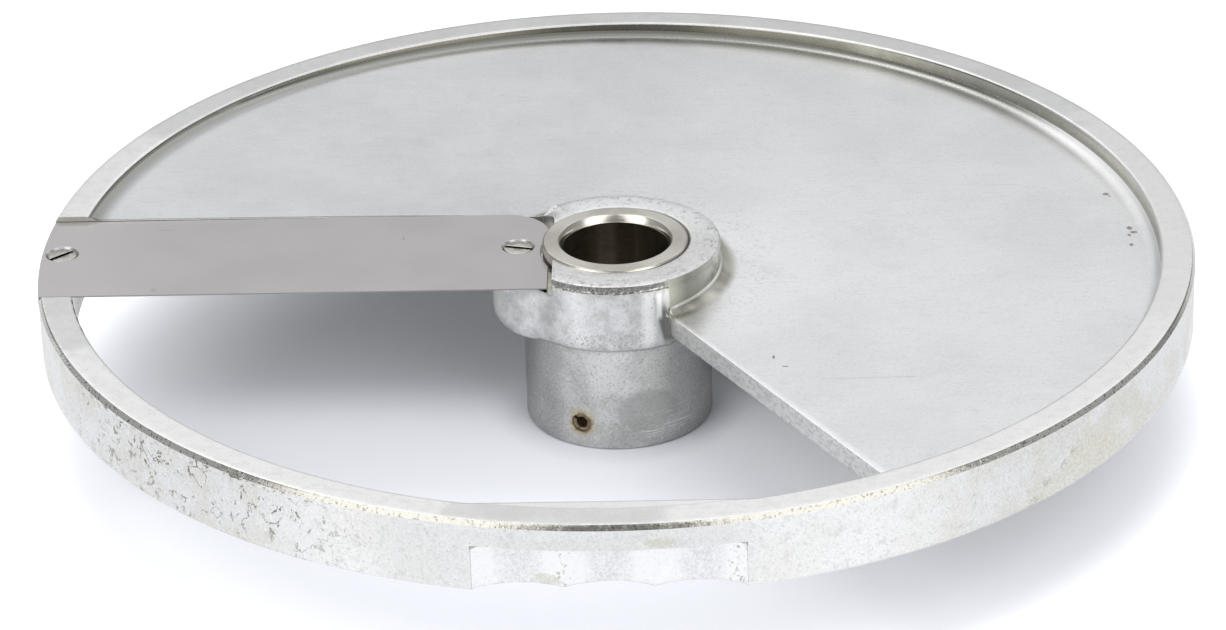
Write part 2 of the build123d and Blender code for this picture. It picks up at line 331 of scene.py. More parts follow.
    # The grip's upper corners near its ends and a line along its bottom edge are painted dark as painted
    # shade, and dark specks gather at the cusps.
    inset = minus(grip_half, calc("ABSOLUTE", across))
    wedge = minus(minus(height, 26.95), times(inset, 0.2))
    foot_shadow_line = times(step(height, 19.75, 19.45), step(lumps, 0.40, 0.56))
    crevice_shade = times(grip, most(step(wedge, -0.12, 0.12), foot_shadow_line), step(fine, 0.36, 0.50, 0.5, 1.0))
    cusps = most(between(angle, -95.0, -93.8, 0.5), between(angle, -78.6, -77.4, 0.7))
    specks = times(grip, step(grain(place, 0.7, 3, 0.6), 0.56, 0.64), step(cusps, 0, 1, 0.12, 1.0))
    rough = step(fine, 0.25, 0.75, 0.34, 0.52)
    depth = plus(times(fine, 0.4), times(lumps, plus(0.5, times(raw, 0.8))))
    colour = tint(colour, (0.24, 0.23, 0.19), most(crevice_shade, specks), 0.75)
    dress(metal, colour, rough, minus(depth, times(dark, 0.6)), 0.07)
    return material


def faced_rim():
    """Faced aluminium on the rim and the boss: pale satin, brighter in places, scratched and pitted, with a
    painted highlight along the rim's outer edge, painted shadow in the gap round the sleeve and painted shade
    on the boss behind the blade's seat.
    """
    material, tree, metal = metal_finish("faced_rim")
    place = millimetres(tree)
    angle, out, _ = around(place)
    fine = grain(place, 0.45, 5, 0.75)
    cloud = grain(place, 9, 5, 0.6)
    scratch = grain(millimetres(tree, (0.15, 2.4, 1), (0, 0, 0.7)), 1.0, 4, 0.7)
    other = grain(millimetres(tree, (2.4, 0.15, 1), (0, 0, 0.25)), 1.0, 4, 0.7)
    ragged = plus(angle, times(minus(cloud, 0.5), 9))
    blotch = grain(place, 2.2, 4, 0.65)
    dressed = most(
        between(ragged, -158, -106, 1), between(ragged, -84, 30, 2), between(ragged, 150, 174, 2)
    )
    on_rim = step(out, 60, 90)
    dressed_colour = tint((0.965, 0.96, 0.935), (0.90, 0.895, 0.87), step(blotch, 0.44, 0.66))
    at_front = between(angle, -108, -72, 4)
    # A broken light line along the rim's outer edge: worn bare metal with a painted highlight.
    worn = times(step(out, 101.5, 101.65), step(grain(place, 1.4, 4, 0.7), 0.50, 0.58))
    boss = step(out, 24, 20)
    pitted = times(boss, step(grain(place, 0.75, 4, 0.7), 0.54, 0.64), step(out, 14.5, 18.0, 0.45, 1.0))
    flecks = times(boss, step(grain(place, 0.55, 3, 0.6), 0.44, 0.34))
    chip = times(step(out, 97.0, 96.75), on_rim, between(ragged, -172, -161, 1.5), step(blotch, 0.42, 0.50))
    # A dark ring at the boss's bore edge round the sleeve: painted shadow in the gap.
    gap_shadow = times(step(out, 13.5, 13.35), most(between(angle, -62, 70, 8), step(angle, 150, 160)))
    rough = step(fine, 0.25, 0.75, 0.30, 0.42)
    ridges = plus(fine, times(scratch, 0.8), times(other, 0.6), times(pitted, -2.4))
    colour = coats(
        tint((0.80, 0.80, 0.78), (0.74, 0.74, 0.715), step(cloud, 0.40, 0.68)),
        ((0.69, 0.69, 0.67), step(blotch, 0.46, 0.66, 0, 0.4)),
        (dressed_colour, dressed, on_rim, 0.85),
        ((0.83, 0.83, 0.81), between(ragged, -19, 30, 1), on_rim, 0.5),
        ((0.95, 0.945, 0.925), step(out, 96.6, 96.3), on_rim, at_front, 0.7),
        ((0.55, 0.55, 0.53), between(out, 96.35, 96.6, 0.12), at_front, 0.35),
        ((0.98, 0.98, 0.96), worn, 0.7),
        ((0.60, 0.60, 0.58), step(fine, 0.52, 0.74, 0, 0.6)),
        ((0.62, 0.62, 0.60), step(scratch, 0.58, 0.74, 0, 0.45)),
        ((0.64, 0.64, 0.63), step(other, 0.60, 0.74, 0, 0.40)),
        ((0.95, 0.95, 0.945), boss, between(angle, 20, 150, 20), 0.8),
        # The boss top behind the blade's seat is painted darker: painted shade that tones down a glint there.
        ((0.55, 0.55, 0.54), boss, between(angle, 122, 142, 4), 0.35),
        ((0.40, 0.40, 0.38), pitted, 0.8),
        ((0.97, 0.97, 0.96), flecks, 0.7),
        ((0.14, 0.135, 0.12), most(chip, gap_shadow), 0.85),
    )
    dress(metal, colour, rough, ridges, 0.022)
    return material


def edge_band():
    """The dressed strip under the rim's top edge: almost polished, with a sparkle of fine nicks; its colour
    is painted darker by angle round the disc, in two front zones, across the front's middle and in a few more
    zones, as painted reflection.
    """
    material, tree, metal = metal_finish("edge_band")
    place = millimetres(tree)
    angle = around(place)[0]
    nick = grain(place, 0.9, 4, 0.7)
    spark = grain(place, 0.34, 4, 0.7)
    # By angle round the disc the band is painted darker in two front zones, across the front's middle and in
    # the dim zones: painted reflection.
    bright = most(between(angle, -127, -97, 6), between(angle, -82, -53, 5))
    pecked = step(grain(place, 0.55, 3, 0.6), 0.56, 0.63)
    dim_reflection = most(between(angle, -24, 60, 6), step(angle, -158, -164), step(angle, 130, 140))
    rough = step(nick, 0.40, 0.80, 0.13, 0.28)
    colour = coats(
        tint((0.93, 0.905, 0.83), (0.76, 0.74, 0.65), step(nick, 0.52, 0.70, 0, 0.5)),
        ((0.60, 0.58, 0.50), step(spark, 0.55, 0.72, 0, 0.5)),
        ((0.30, 0.29, 0.26), bright, 0.8),
        ((0.44, 0.43, 0.385), between(angle, -101, -80, 3), 0.9),
        ((0.20, 0.19, 0.155), pecked, 0.75),
        ((0.31, 0.30, 0.265), dim_reflection, 0.8),
    )
    dress(metal, colour, rough, plus(step(nick, 0.50, 0.80), spark), 0.014)
    return material


def inner_wall():
    """The rim's turned inner wall: smooth and olive grey, painted lighter at the right back, with a painted
    highlight at the left back and painted shade at the back behind the hub.
    """
    material, tree, metal = metal_finish("inner_wall")
    place = millimetres(tree)
    fine = grain(place, 0.5, 5, 0.7)
    film = grain(millimetres(tree, (1, 1, 0.4)), 5.0, 5, 0.6)
    angle = around(place)[0]
    # Painted light at the right back, a painted highlight at the left back and painted shade behind the hub.
    shade_behind_hub = between(angle, 60, 130, 7)
    rough = step(fine, 0.25, 0.75, 0.20, 0.30)
    colour = coats(
        tint((0.50, 0.495, 0.425), (0.37, 0.36, 0.30), step(film, 0.36, 0.68)),
        ((0.68, 0.67, 0.585), between(angle, 8, 50, 8), 0.8),
        ((0.97, 0.955, 0.87), between(angle, 132, 174, 5), 0.85),
        ((0.125, 0.12, 0.095), shade_behind_hub, 0.85),
        ((0.22, 0.21, 0.17), step(fine, 0.56, 0.74, 0, 0.5)),
    )
    dress(metal, colour, rough, fine, 0.006)
    return material


skin_finish, faced_finish, band_finish, wall_finish = cast_skin(), faced_rim(), edge_band(), inner_wall()

# Hub: boss, lug and foot of the same casting. The boss is cut round above the ramp and left as cast towards
# the opening, where a lug carries the blade's end. The foot below is turned, with a cross hole for the pin.
boss_r = 18.6
skin_r = 18.95
boss_top = 33.4
boss_foot = 20.0
bore_r = 13.0
foot_r = 16.7
lug_half = 12.0
lug_reach = 21.7
lug_round = 7.0
ramp_start = 300.5
seat_end = 11.0
seat_corner = 7.0
pin_turn = math.radians(-113)
pin_height = 5.0
pin_hole_r = 1.75
foot_edge = ((2.3, 0), (1.3, 0), (0.7, 0), (0.35, 0.1), (0.1, 0.35), (0, 0.8))


def blend_low(first, second, reach):
    """The lower of two values, with the corner between them rounded."""
    share = np.clip(0.5 + 0.5 * (second - first) / reach, 0, 1)
    return second + (first - second) * share - reach * share * (1 - share)


def boss_wall(degrees, z):
    """Radius of the boss's wall: cut above the ramp, cast in front, with the lug at the left."""
    cast = 180 < degrees < ramp_start
    radius = skin_r if cast else boss_r
    along = math.radians(ramp_start - degrees) * skin_r
    if cast and along < 2:
        held = ease(z, 21.6, 23.2) * (1 - ease(z, 26.0, 28.0)) + 0.12 * (1 - ease(z, 29, 31.5))
        radius += (2 - math.sqrt(4 - (2 - along) ** 2)) * min(held, 1)
    if z < boss_foot + 2:
        radius -= 2 - math.sqrt(4 - (boss_foot + 2 - z) ** 2)
    turn = math.radians(degrees)
    if math.cos(turn) < -0.3:
        drop = max(boss_foot + lug_round - z, 0)
        reach = lug_reach - lug_round + math.sqrt(max(lug_round**2 - drop**2, 0))
        plan = blend_low(lug_half / max(abs(math.sin(turn)), 0.01), reach / -math.cos(turn), 3.0)
        radius = -blend_low(-radius, -plan, 2.5)
    return radius


def hub_section(degrees, cut):
    """The hub's closed section at an angle, from its foot up the outside and down the bore."""
    section = [(bore_r, 0.3), (bore_r + 0.3, 0)] + [(foot_r - back, z) for back, z in foot_edge]
    section += [(foot_r, z) for z in np.linspace(1.6, 18.7, 16)]
    section += [(foot_r, 19.2), (foot_r + 0.06, 19.6), (foot_r + 0.25, 19.9)]
    heights = [20.02, 20.15, 20.4, 20.8, 21.3, 22.0, *np.linspace(22.8, 30.4, 11), 31.0, 31.5, 31.85]
    section += [(boss_wall(degrees, z), z) for z in heights]
    top = boss_wall(degrees, 31.85)
    section += [(min(top, skin_r) - 0.04, 32.02), (boss_r + 0.08, 32.12)]
    section += [(boss_r, z) for z in (32.3, 32.7, 33.1)]
    section += [(boss_r - 0.05, 33.26), (boss_r - 0.16, 33.36), (boss_r - 0.32, boss_top)]
    section += [(r, boss_top) for r in (17.0, 15.8, 14.6, 13.5)]
    section += [(bore_r + 0.2, boss_top - 0.05)] + [(bore_r, z) for z in (boss_top - 0.25, 28, 20, 10)]
    fall = 1.3 * (1 - ease(behind - degrees, 0, 9)) if degrees < behind else 0
    return [(r, min(z, seat_floor if cut else boss_top - fall * ease(r, 14.5, 18.6))) for r, z in section]


corner = [math.radians(a) for a in range(0, 91, 2)]
seat_edge = [(-seat_end, y) for y in np.linspace(6.9, seat_back - seat_corner, 6)]
seat_edge += [
    (seat_corner * (math.cos(a) - 1) - seat_end, seat_back + seat_corner * (math.sin(a) - 1)) for a in corner
]
edge_r = [math.hypot(x, y) for x, y in seat_edge]
edge_turn = [math.degrees(math.atan2(y, x)) for x, y in seat_edge]


def seat_behind(r):
    """Angle at which the seat's wall behind the blade crosses a radius."""
    return float(np.interp(r, edge_r, edge_turn))


def seat_ahead(r):
    """Angle at which the seat's wall at the blade's end crosses a radius, towards the front."""
    return 180 + math.degrees(math.acos(min(seat_end / r, 1)))


behind = seat_behind(boss_r)
before = seat_ahead(skin_r)


def hub_point(degrees, r, z):
    """A point of the hub; near the seat the sections follow the seat's walls."""
    held = min(max(r, bore_r), skin_r)
    turn = degrees + (seat_behind(held) - behind) * (1 - ease(abs(degrees - behind), 0, 30))
    turn += (seat_ahead(held) - before) * (1 - ease(abs(degrees - before), 0, 40))
    return (r * math.cos(math.radians(turn)), r * math.sin(math.radians(turn)), z)


hub_turns = [(d, behind < d < before) for d in np.arange(0, 360, 0.75)]
hub_turns += [(behind - 1e-4, False), (behind + 1e-4, True), (before - 1e-4, True), (before + 1e-4, False)]
hub_turns += [(ramp_start - 0.01, False), (ramp_start + 0.01, False)]
hub_columns = [[hub_point(d, r, z) for r, z in hub_section(d, cut)] for d, cut in sorted(hub_turns)]
hub_skin = skin(hub_columns)


def turned_hub():
    """Turned aluminium on the hub: fine rings, olive grey above the ramp with painted highlights and painted
    shade, a dark band of painted shade under the boss's top edge, and light and shade painted on the foot,
    which is grainy and stained.
    """
    material, tree, metal = metal_finish("turned_hub")
    place = millimetres(tree)
    angle, _, height = around(place)
    rings = grain(millimetres(tree, (0.12, 0.12, 3.0)), 1.0, 4, 0.7)
    fine = grain(place, 0.42, 5, 0.75)
    smear = grain(place, 5.5, 4, 0.55)
    lit = between(angle, -104, -74, 14)
    shade = most(step(angle, -118, -134), times(step(angle, -66, -48), 0.85))
    upper = step(height, 20.5, 22.0)
    olive = tint((0.60, 0.60, 0.53), (0.50, 0.50, 0.43), step(smear, 0.4, 0.7))
    # On the olive wall above the ramp: painted highlights towards the right and painted shade nearer the
    # front.
    painted_shine = times(between(angle, -32, -8, 7), step(grain(place, 2.0, 4, 0.6), 0.42, 0.58))
    olive = coats(
        olive,
        ((0.93, 0.93, 0.87), painted_shine, 0.75),
        ((0.93, 0.93, 0.85), between(angle, -37, -25, 4), 0.5),
        ((0.34, 0.34, 0.285), step(angle, -40, -48), 0.75),
    )
    # A band under the boss's top edge, at the front and at the left by the seat, is painted dark with light
    # beads: painted shade in the undercut.
    undercut_shade = times(step(height, 31.6, 31.9), most(step(angle, -59, -63), step(angle, 170, 172)))
    beads = times(step(grain(place, 0.6, 4, 0.7), 0.46, 0.62), between(height, 31.95, 32.35, 0.15))
    undercut_shade_colour = tint((0.30, 0.30, 0.285), (0.14, 0.14, 0.13), step(fine, 0.42, 0.60))
    stain = mark(place, (5.4, -15.6, 7.6), (6.6, 9, 4.4), 0.25)
    scored = times(step(rings, 0.53, 0.64), between(angle, -75, -40, 6), between(height, 2, 7, 1))
    pin_spot = (foot_r * math.cos(pin_turn), foot_r * math.sin(pin_turn), pin_height)
    rusty = ((3.1, 0.5, 0.5, (0.45, 0.36, 0.18)), (2.15, 0.35, 0.8, (0.16, 0.10, 0.045)))
    colour = coats(
        tint((0.60, 0.595, 0.57), (0.455, 0.455, 0.435), step(smear, 0.36, 0.66)),
        ((0.86, 0.855, 0.82), lit, step(height, 9, 13), 0.3),
        ((0.30, 0.30, 0.305), shade, 0.55),
        ((0.28, 0.28, 0.265), step(fine, 0.50, 0.70, 0, 0.85)),
        ((0.78, 0.78, 0.76), step(fine, 0.47, 0.32, 0, 0.5)),
        (olive, upper),
        (tint(undercut_shade_colour, (0.74, 0.74, 0.72), beads, 0.8), undercut_shade),
        ((0.34, 0.34, 0.325), stain, 0.5),
        ((0.84, 0.84, 0.83), scored, 0.7),
    )
    for reach, ragged, share, brown in rusty:
        colour = tint(colour, brown, mark(place, pin_spot, (reach, reach, reach), ragged), share)
    rough = step(plus(fine, smear), 0.7, 1.3, 0.26, 0.42)
    ridges = plus(times(fine, 1.2), times(rings, 0.8), times(smear, 1.5))
    dress(metal, colour, rough, ridges, 0.025)
    return material


hub_finish = turned_hub()

# Ramp plate: the casting's sloping plate, which lifts the food to the blade. It climbs 8 mm a turn round the
# hub, with a cove along the rim and another along the boss, and is cut off square at the opening.
ramp_pitch = 8.0
ramp_high = 32.0
ramp_degrees = 239.5
plate_t = 4.0
middle_r = 57.5
ramp_in = 16.5
ramp_out = 98.5


def cove(wall, radius, side, level, up):
    """Points of a cove from the plate's face at level to just inside the wall, which it meets at a crease."""
    turns = np.radians(np.linspace(0, 50, 8))
    start = wall + side * (0.03 - radius * math.sin(turns[-1]))
    return [(start + side * radius * math.sin(a), level + up * radius * (1 - math.cos(a))) for a in turns]


section = [(r, 0) for r in np.linspace(22, 94, 73)]
section += cove(rim_inner, 3.1, 1, 0, 1) + [(ramp_out, 0.5), (ramp_out, -plate_t - 0.5)]
section += cove(rim_inner, 2.2, 1, -plate_t, -1)[::-1] + [(r, -plate_t) for r in np.linspace(93, 23, 15)]
section += cove(boss_r, 2.2, -1, -plate_t, -1) + [(ramp_in, -plate_t - 0.5), (ramp_in, 0.5)]
section += cove(boss_r, 3.8, -1, 0, 1)[::-1]
section_mesh = bpy.data.meshes.new("ramp_section")
loop = [(i, (i + 1) % len(section)) for i in range(len(section))]
section_mesh.from_pydata([((r - middle_r) / 1000, -z / 1000, 0) for r, z in section], loop, [])


def put(name, data):
    """A new object in the scene."""
    item = bpy.data.objects.new(name, data)
    scene.collection.objects.link(item)
    return item


def settled(item):
    """The mesh that an object has after its modifiers; the object itself is taken away."""
    mesh = bpy.data.meshes.new_from_object(item.evaluated_get(bpy.context.evaluated_depsgraph_get()))
    bpy.data.objects.remove(item)
    return mesh


ramp = put("ramp_section", section_mesh)


def cut_ramp():
    """The ramp's satin face: soft blotches, fine speckle, faint sweeps of the tool, hairlines and pits, with
    painted highlights and painted shade in its coves and a dark strip painted on the seat's edge by the
    blade.
    """
    material, tree, metal = metal_finish("cut_ramp")
    place = millimetres(tree)
    angle, out, _ = around(place)
    fine = grain(place, 0.55, 5, 0.7)
    cloud = grain(place, 22, 5, 0.55)
    patch = grain(place, 5, 4, 0.6)
    brush = grain(millimetres(tree, (0.18, 1.6, 1), (0, 0, 0.35)), 1.0, 4, 0.7)
    swirl = grain(millimetres(tree, (1.8, 0.16, 1), (0, 0, -0.3)), 1.0, 4, 0.7)
    near_boss = times(between(out, 21.5, 29, 2.5), step(grain(place, 1.1, 4, 0.7), 0.52, 0.64))
    hub_corner = step(out, 22.2, 20.2)
    corner_colour = tint((0.60, 0.595, 0.52), (0.46, 0.455, 0.38), step(patch, 0.42, 0.58))
    # The cove round the boss's front right is painted dark with a lighter band across it: painted shade and a
    # painted glint.
    cove_shade_and_glint = tint((0.25, 0.245, 0.195), (0.38, 0.375, 0.31), step(grain(place, 3.5, 2, 0.4), 0.40, 0.64))
    cove_shade_and_glint = tint(cove_shade_and_glint, (0.66, 0.655, 0.58), between(angle, -37, -29, 7), step(patch, 0.35, 0.6, 0.3, 0.9))
    corner_colour = coats(
        corner_colour,
        (cove_shade_and_glint, between(angle, -66, -6, 5)),
        # A thin light line along the crease at the boss's wall: painted highlight.
        ((0.80, 0.795, 0.74), step(out, 19.05, 18.85), step(angle, -59, -55)),
    )
    right_side = between(angle, -45, 38, 8)
    far_side = step(angle, 30, 46)
    across, deep, _ = split(place)
    # A thin strip at the seat's edge by the blade is painted dark: painted shade that hides a highlight on
    # the rounded edge.
    by_blade = times(between(deep, 15.15, 15.32, 0.012), step(across, -17.5, -18.5))
    pits = (
        (88.7, 25.7, 28.4, 0.6, 0.65, 3), (89.3, 24.8, 28.4, 0.28, 0.3, 3), (92.0, 12.0, 28.1, 0.55, 0.8, 3),
        (92.7, 10.3, 28.1, 0.75, 0.6, 3), (91.8, 9.2, 28.1, 0.35, 0.5, 3), (91.9, 5.4, 28.1, 0.42, 0.6, 3),
        (27.6, -33.5, 26.9, 0.28, 0.7, 2), (29.5, -37.0, 26.9, 0.6, 0.25, 2), (36, -62, 26.7, 0.5, 0.9, 2),
    )
    colour = coats(
        tint((0.85, 0.85, 0.85), (0.79, 0.79, 0.79), step(cloud, 0.36, 0.66)),
        ((0.75, 0.75, 0.75), step(patch, 0.52, 0.76, 0, 0.5)),
        ((0.60, 0.60, 0.605), step(fine, 0.52, 0.74, 0, 0.65)),
        ((0.94, 0.94, 0.94), step(fine, 0.46, 0.30, 0, 0.5)),
        ((0.66, 0.66, 0.66), step(brush, 0.54, 0.72, 0, 0.45)),
        ((0.69, 0.69, 0.69), step(swirl, 0.58, 0.74, 0, 0.35)),
        ((0.58, 0.58, 0.57), near_boss, 0.35),
        (corner_colour, hub_corner, 0.9),
        # The rim's cove at the right is painted light: painted highlight.
        ((0.95, 0.945, 0.92), step(out, 95.0, 96.2), right_side, 0.55),
        # Along the far side the plate is painted darker towards the rim's cove, darker still in the cove and
        # dark at its crease: painted shade.
        ((0.42, 0.42, 0.41), step(out, 92.4, 94.7), far_side, 0.8),
        ((0.27, 0.267, 0.235), step(out, 94.0, 95.3), far_side, 0.65),
        ((0.17, 0.165, 0.13), step(out, 95.8, 96.2), far_side, 0.7),
        ((0.20, 0.198, 0.18), by_blade, 0.92),
    )
    for pit in pits:
        colour = tint(colour, (0.22, 0.19, 0.15), mark(place, pit[:3], pit[3:], 0.7), 0.8)
    hairlines = ((29.2, -6.4, 27.7, 3.4, 0.1, 2), (44.5, -42, 27, 11, 0.12, 2), (70, 30, 28.5, 4.5, 0.1, 2))
    for line in hairlines:
        colour = tint(colour, (0.35, 0.34, 0.32), mark(place, line[:3], line[3:], 0.5), 0.4)
    satin = step(plus(fine, times(patch, 0.6)), 0.5, 1.1, 0.30, 0.42)
    cut_smooth = most(step(out, 93.8, 95.2), hub_corner)
    rough = minus(satin, times(cut_smooth, minus(0.10, times(right_side, 0.10))))
    swell = plus(fine, times(brush, 0.7), times(patch, 1.5))
    dress(metal, colour, rough, swell, 0.014)
    return material


def sawn_edge():
    """The ramp's cut end at the opening: grey and rough, with long tool marks and chipped corners."""
    material, tree, metal = metal_finish("sawn_edge")
    along_end = (0, 0, math.radians(360 - ramp_start))
    place = millimetres(tree, turn=along_end)
    fine = grain(place, 0.6, 5, 0.7)
    drag = grain(millimetres(tree, (0.10, 1, 1.6), along_end), 1.0, 4, 0.65)
    rough = step(fine, 0.25, 0.75, 0.36, 0.50)
    colour = coats(
        tint((0.74, 0.74, 0.72), (0.54, 0.54, 0.51), step(drag, 0.40, 0.66)),
        ((0.36, 0.355, 0.32), step(fine, 0.58, 0.74, 0, 0.6)),
    )
    dress(metal, colour, rough, plus(fine, drag), 0.06)
    return material


ramp_finish, end_finish = cut_ramp(), sawn_edge()
ramp_tree = bpy.data.node_groups.new("helical_ramp", "GeometryNodeTree")
ramp_tree.is_modifier = True
ramp_node = partial(node_in, ramp_tree)


def inlet(tree, name, kind, value, settings):
    """Adds a named input to a tree and notes the value that the modifier will give it."""
    socket = tree.interface.new_socket(name, in_out="INPUT", socket_type=kind)
    settings[socket.identifier] = value


ramp_settings = {}
ramp_tree.interface.new_socket("Section", in_out="INPUT", socket_type="NodeSocketGeometry")
lengths = {"Middle radius": middle_r, "Pitch": ramp_pitch, "Top height": ramp_high, "Seat line": seat_back}
for name, length in lengths.items():
    inlet(ramp_tree, name, "NodeSocketFloat", length / 1000, ramp_settings)
inlet(ramp_tree, "Turns", "NodeSocketFloat", ramp_degrees / 360, ramp_settings)
inlet(ramp_tree, "Finish", "NodeSocketMaterial", ramp_finish, ramp_settings)
ramp_tree.interface.new_socket("Ramp", in_out="OUTPUT", socket_type="NodeSocketGeometry")
given = ramp_tree.nodes.new("NodeGroupInput").outputs
rise = times(given["Pitch"], given["Turns"])
helix = ramp_node("GeometryNodeCurveSpiral", Resolution=300, Rotations=given["Turns"], Reverse=True)
feed(helix.inputs["Height"], rise)
feed(helix.inputs["Start Radius"], given["Middle radius"])
feed(helix.inputs["End Radius"], given["Middle radius"])
keep = ramp_node("GeometryNodeCaptureAttribute", Geometry=helix.outputs[0])
keep.capture_items.new("FLOAT", "Along")
keep.domain = "POINT"
feed(keep.inputs["Along"], ramp_tree.nodes.new("GeometryNodeSplineParameter").outputs["Factor"])
upright = ramp_node("GeometryNodeSetCurveNormal", Curve=keep.outputs["Geometry"])
upright.mode = "Z_UP"
outline = ramp_node("GeometryNodeMeshToCurve", Mesh=given["Section"])
swept = ramp_node("GeometryNodeCurveToMesh", Curve=upright.outputs[0], Fill_Caps=True)
feed(swept.inputs["Profile Curve"], outline.outputs[0])
spot_now = ramp_tree.nodes.new("GeometryNodeInputPosition").outputs[0]
x_now, y_now, _ = split(spot_now)
out_r = calc("SQRT", plus(times(x_now, x_now), times(y_now, y_now)))
square_end = calc("ARCSINE", calc("DIVIDE", given["Seat line"], out_r))
whole_turn = times(given["Turns"], math.tau)
on_helix = times(keep.outputs["Along"], whole_turn)
stray = calc("SINE", minus(calc("ARCTAN2", y_now, x_now), on_helix))
bend = times(calc("POWER", keep.outputs["Along"], 3.0), plus(square_end, stray))
first_turn = minus(math.pi, whole_turn)
turned = ramp_node("ShaderNodeVectorRotate", Vector=spot_now, Angle=minus(first_turn, bend))
turned.rotation_type = "Z_AXIS"
fall = times(bend, calc("DIVIDE", given["Pitch"], math.tau))
base = minus(given["Top height"], rise)
lift = ramp_node("ShaderNodeCombineXYZ", Z=minus(base, fall))
placed = ramp_node("ShaderNodeVectorMath", i0=turned.outputs[0], i1=lift.outputs[0])
moved = ramp_node("GeometryNodeSetPosition", Geometry=swept.outputs[0], Position=placed.outputs[0])
solid = ramp_node("GeometryNodeRealizeInstances", Geometry=moved.outputs[0])
dressed = ramp_node("GeometryNodeSetMaterial", Geometry=solid.outputs[0], Material=given["Finish"])
ramp_node("NodeGroupOutput", Ramp=dressed.outputs[0])
winding = ramp.modifiers.new("helical_ramp", "NODES")
winding.node_group = ramp_tree
for identifier, value in ramp_settings.items():
    winding[identifier] = value
edge_break = ramp.modifiers.new("edge_break", "BEVEL")
edge_break.width = 0.0002
edge_break.segments = 2
edge_break.use_clamp_overlap = False
edge_break.limit_method = "ANGLE"
edge_break.angle_limit = math.radians(60)
ramp_mesh = settled(ramp)

# The three skins are one casting. The pin's hole is drilled, the ledge under the blade is added, every face
# gets its finish, and the as-cast faces get the uneven surface that sand leaves.
CAST, FACED, RAMP, BAND, TURNED, SAWN, WALL = range(7)
rim_zone = 90.0
hub_zone = 22.6
hidden_r = rim_inner + 0.1
hidden_back = 0.5
cove_r = rim_inner - 3.0
drill_middle = 17.0
drill_length = 7.0
ledge_low = (-98, 2, 27.95)
ledge_high = (-17, 15.3, seat_floor)


def casting_finish(face):
    """Which finish a face of the casting has, from where it lies and which way it looks."""
    middle = face.calc_center_median() * 1000
    normal = face.normal
    radius = math.hypot(middle.x, middle.y)
    outward = (normal.x * middle.x + normal.y * middle.y) / radius
    if radius > rim_zone:
        if outward > 0.5:
            return BAND if middle.z > rim_top - 0.9 else CAST
        if normal.z > 0.3 and middle.z > rim_top - 0.2:
            return FACED
        if outward < -0.95 and middle.z > 20:
            return WALL
        return RAMP if normal.z > 0.3 else CAST
    if radius < hub_zone:
        if middle.z > boss_top - 0.6 and normal.z > 0.5:
            return FACED
        if middle.z < boss_foot - 0.1 or (outward > 0.5 and radius < boss_r + 0.05):
            return TURNED
        return RAMP if normal.z > 0.2 else CAST
    if abs(normal.z) < 0.4 and middle.x > 0:
        return SAWN
    return RAMP if normal.z > 0 else CAST


def mesh_of(name, work):
    """Finished mesh work as a named mesh."""
    mesh = bpy.data.meshes.new(name)
    work.to_mesh(mesh)
    work.free()
    return mesh


hub = put("hub_drilled", mesh_of("hub_drilled", hub_skin))
out_way = Vector((math.cos(pin_turn), math.sin(pin_turn), 0))
drill_spot = (out_way * drill_middle + Vector((0, 0, pin_height))) / 1000
drill_at = Matrix.Translation(drill_spot) @ out_way.to_track_quat("Z", "Y").to_matrix().to_4x4()
drill_r = pin_hole_r / 1000
drill_work = bmesh.new()
drill_size = {"radius1": drill_r, "radius2": drill_r, "depth": drill_length / 1000}
bmesh.ops.create_cone(drill_work, cap_ends=True, segments=48, matrix=drill_at, **drill_size)
drill = put("pin_drill", mesh_of("pin_drill", drill_work))
drilling = hub.modifiers.new("drilling", "BOOLEAN")
drilling.object = drill
drilling.solver = "EXACT"
drilled = settled(hub)
bpy.data.objects.remove(drill)

work = bmesh.new()
work.from_mesh(ramp_mesh)
for point in work.verts:
    out = point.co.xy.length * 1000
    if out > hidden_r and point.co.x < 0 and point.co.y * 1000 < seat_back + 0.9:
        point.co.y += hidden_back / 1000
    if out > cove_r:
        turn = math.degrees(math.atan2(point.co.y, point.co.x))
        low = 0.2 + 0.35 * ease(turn, 115, 145) * (1 - ease(turn, 158, 172))
        point.co.z = min(point.co.z, (rim_top - low) / 1000)
work.from_mesh(mesh_of("rim_ring", rim_skin))
work.from_mesh(drilled)
for point in bmesh.ops.create_cube(work, size=1)["verts"]:
    spot = [low if c < 0 else high for c, low, high in zip(point.co, ledge_low, ledge_high)]
    point.co = Vector(spot) / 1000
work.normal_update()
for face in work.faces:
    face.smooth = True
    face.material_index = casting_finish(face)
for line in work.edges:
    sides = {face.material_index for face in line.link_faces}
    spots = [point.co * 1000 for point in line.verts]
    at_seat = all(spot.x < -17 and seat_back - 0.05 < spot.y < seat_back + 0.3 for spot in spots)
    gentle = line.is_manifold and line.calc_face_angle(0) < math.radians(28)
    line.smooth = gentle and sides != {CAST, BAND} and not at_seat
for point in work.verts:
    finishes = {face.material_index for face in point.link_faces}
    if finishes <= {CAST, SAWN}:
        place = point.co * 1000
        lumps = 0.05 * noise.noise(place / 5) + 0.035 * noise.noise(place / 1.7)
        point.co += point.normal * (lumps - 0.085) / 1000
    place = point.co * 1000
    if 31.8 < place.z < 32.4 and 18.4 < place.xy.length < 19.1 and place.y < 6 and place.x < 9.6:
        point.co += point.normal * (0.16 * noise.noise(place / 0.45) - 0.06) / 1000
    if place.z > 33.2 and 17.5 < place.xy.length < 18.8 and place.y > -4:
        point.co.z -= 0.16 * max(noise.noise(place / 2.2) + 0.2, 0) / 1000
casting = put("disc_casting", mesh_of("disc_casting", work))
for finish in (skin_finish, faced_finish, ramp_finish, band_finish, hub_finish, end_finish, wall_finish):
    casting.data.materials.append(finish)
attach(casting, "root")
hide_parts("disc_body")

